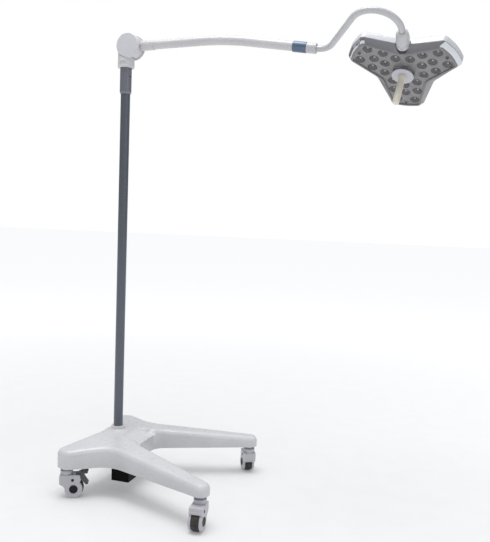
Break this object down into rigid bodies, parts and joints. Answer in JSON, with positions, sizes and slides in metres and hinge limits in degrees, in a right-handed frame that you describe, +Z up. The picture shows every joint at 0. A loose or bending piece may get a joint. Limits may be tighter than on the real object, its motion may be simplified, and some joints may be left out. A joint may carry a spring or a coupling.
{
  "type": "mobile surgical light",
  "caption": "Mobile surgical light: a wheeled four-leg base, a pole, a tilting arm and an S-shaped neck that carry a three-lobed lamp head with a grip under it.",
  "frame": {"origin": "the point on the floor directly below the pole's axis", "axes": "+Z up along the pole, +X from the pole towards the front legs and along the arm, +Y to the left of the base"},
  "size_m": [1.4943, 0.7262, 1.8537],
  "materials": {
    "base_cover": "glossy white thermoformed cover",
    "base_pan": "galvanised sheet",
    "chassis": "black painted casting",
    "collar": "glossy white moulding",
    "zinc": "bright zinc plate",
    "fork": "satin white nylon",
    "wheel_core": "grey moulding",
    "tyre": "dark brown-black rubber",
    "axle_cap": "dark cap over a steel axle",
    "pedal": "dark grey nylon",
    "black_plastic": "fine textured black",
    "pole": "blue-grey metallic paint",
    "steel": "turned steel",
    "spring_steel": "oiled spring wire",
    "friction": "brown friction lining",
    "arm_paint": "glossy white powder coat",
    "knuckle_paint": "satin white powder coat",
    "knuckle_cap": "white press-on cap",
    "ring": "dark blue-grey sleeve",
    "neck_paint": "glossy white powder coat",
    "hub_metal": "polished steel",
    "housing": "glossy white shell",
    "bezel": "silver-grey frame",
    "lens_cover": "clear acrylic with a light grey tint",
    "lens_plate": "clear moulded collimating lenses",
    "board": "aluminium-core circuit board with a white mask",
    "bracket": "machined",
    "column": "satin",
    "disc": "light grey moulding",
    "handle": "ivory heat-proof moulding"
  },
  "bodies": {
    "base": {"base_cover": "base_cover", "base_pan": "base_pan", "base_chassis": "chassis", "pole_socket": "steel", "pole_collar": "collar", "power_box": "black_plastic", "mains_inlet": "black_plastic", "pole_tube": "pole", "pole_sleeve": "pole", "sleeve_screw": "steel", "swivel_spindle": "steel", "caster_stem_front_right": "zinc", "caster_stem_front_left": "zinc", "caster_stem_rear_right": "zinc", "caster_stem_rear_left": "zinc"},
    "caster_front_right": {"caster_fork_front_right": "fork", "caster_axle_front_right": "axle_cap"},
    "wheel_front_right": {"caster_wheel_front_right": "wheel_core", "caster_tyre_front_right": "tyre"},
    "caster_front_left": {"caster_fork_front_left": "fork", "caster_axle_front_left": "axle_cap"},
    "wheel_front_left": {"caster_wheel_front_left": "wheel_core", "caster_tyre_front_left": "tyre"},
    "caster_rear_right": {"caster_fork_rear_right": "fork", "caster_axle_rear_right": "axle_cap"},
    "wheel_rear_right": {"caster_wheel_rear_right": "wheel_core", "caster_tyre_rear_right": "tyre"},
    "pedal_rear_right": {"brake_pedal_rear_right": "pedal"},
    "caster_rear_left": {"caster_fork_rear_left": "fork", "caster_axle_rear_left": "axle_cap"},
    "wheel_rear_left": {"caster_wheel_rear_left": "wheel_core", "caster_tyre_rear_left": "tyre"},
    "pedal_rear_left": {"brake_pedal_rear_left": "pedal"},
    "rocker": {"power_switch": "black_plastic"},
    "knuckle": {"knuckle_yoke": "knuckle_paint", "knuckle_cap_front": "knuckle_cap", "knuckle_cap_rear": "knuckle_cap", "friction_disc_front": "friction", "friction_disc_rear": "friction", "hinge_bolt": "steel", "balance_spring": "spring_steel"},
    "arm": {"arm_hub": "arm_paint", "arm_collar": "arm_paint", "arm_tube": "arm_paint", "joint_ring": "ring"},
    "neck": {"neck_tube": "neck_paint", "end_sleeve": "neck_paint", "neck_spindle": "steel", "hub_sleeve": "neck_paint"},
    "head": {"hub_ring": "hub_metal", "head_housing": "housing", "head_bezel": "bezel", "lens_cover": "lens_cover", "led_board": "board", "lens_plate": "lens_plate", "head_bracket": "bracket", "handle_column": "column", "handle_disc": "disc", "handle_core": "steel"},
    "handle": {"sterile_handle": "handle"}
  },
  "joints": [
    {"name": "front_right_swivel", "type": "hinge", "parent": "base", "child": "caster_front_right", "pos_m": [0.495, -0.295, 0.1], "axis": [0, 0, 1], "continuous": true},
    {"name": "front_right_roll", "type": "hinge", "parent": "caster_front_right", "child": "wheel_front_right", "pos_m": [0.49709, -0.32493, 0.0375], "axis": [0.9976, 0.0698, 0], "continuous": true},
    {"name": "front_left_swivel", "type": "hinge", "parent": "base", "child": "caster_front_left", "pos_m": [0.495, 0.295, 0.1], "axis": [0, 0, 1], "continuous": true},
    {"name": "front_left_roll", "type": "hinge", "parent": "caster_front_left", "child": "wheel_front_left", "pos_m": [0.48046, 0.32124, 0.0375], "axis": [-0.8746, -0.4848, 0], "continuous": true},
    {"name": "rear_right_swivel", "type": "hinge", "parent": "base", "child": "caster_rear_right", "pos_m": [-0.095, -0.24, 0.1], "axis": [0, 0, 1], "continuous": true},
    {"name": "rear_right_roll", "type": "hinge", "parent": "caster_rear_right", "child": "wheel_rear_right", "pos_m": [-0.06781, -0.22732, 0.0375], "axis": [-0.4226, 0.9063, 0], "continuous": true},
    {"name": "rear_right_brake", "type": "hinge", "parent": "caster_rear_right", "child": "pedal_rear_right", "pos_m": [-0.0524, -0.22014, 0.09], "axis": [-0.4226, 0.9063, 0], "range_deg": [0, 11]},
    {"name": "rear_left_swivel", "type": "hinge", "parent": "base", "child": "caster_rear_left", "pos_m": [-0.095, 0.24, 0.1], "axis": [0, 0, 1], "continuous": true},
    {"name": "rear_left_roll", "type": "hinge", "parent": "caster_rear_left", "child": "wheel_rear_left", "pos_m": [-0.12319, 0.25026, 0.0375], "axis": [-0.342, -0.9397, 0], "continuous": true},
    {"name": "rear_left_brake", "type": "hinge", "parent": "caster_rear_left", "child": "pedal_rear_left", "pos_m": [-0.13917, 0.25607, 0.09], "axis": [-0.342, -0.9397, 0], "range_deg": [0, 11]},
    {"name": "power_rocker", "type": "hinge", "parent": "base", "child": "rocker", "pos_m": [0.055, -0.088, 0.088], "axis": [0, 1, 0], "range_deg": [0, 12]},
    {"name": "arm_swivel", "type": "hinge", "parent": "base", "child": "knuckle", "pos_m": [0, 0, 1.804], "axis": [0, 0, 1], "range_deg": [-165, 165]},
    {"name": "arm_tilt", "type": "hinge", "parent": "knuckle", "child": "arm", "pos_m": [0.02, 0, 1.804], "axis": [0, -1, 0], "range_deg": [-50, 35]},
    {"name": "neck_roll", "type": "hinge", "parent": "arm", "child": "neck", "pos_m": [0.78876, 0, 1.76421], "axis": [0.9903, 0, -0.1392], "range_deg": [-183, 57]},
    {"name": "head_turn", "type": "hinge", "parent": "neck", "child": "head", "pos_m": [1.11018, 0.04517, 1.6962], "axis": [0.0069, 0.892, -0.452], "range_deg": [-120, 120]},
    {"name": "handle_pull", "type": "slide", "parent": "head", "child": "handle", "axis": [-0.1244, -0.4478, -0.8855], "range_m": [0, 0.118]}
  ]
}
